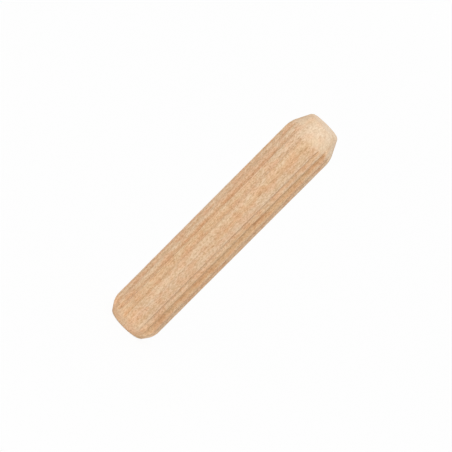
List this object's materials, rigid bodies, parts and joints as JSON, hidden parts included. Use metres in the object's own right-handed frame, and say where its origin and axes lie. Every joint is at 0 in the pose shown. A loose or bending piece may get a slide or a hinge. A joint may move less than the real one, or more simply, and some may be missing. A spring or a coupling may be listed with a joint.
{
  "type": "wooden dowel",
  "caption": "Fluted cylindrical wooden pin with tapered ends, glued into drilled holes to join and align two boards.",
  "frame": {"origin": "centre of the foot face, the flat end of the short taper, on which the dowel stands", "axes": "+Z along the dowel's axis, from the short-tapered foot to the long-tapered lead end; +X through the floor of one flute"},
  "size_m": [0.0078, 0.008, 0.04],
  "materials": {
    "beech": "raw, unfinished beech, matt"
  },
  "bodies": {
    "root": {"dowel": "beech"}
  },
  "joints": []
}
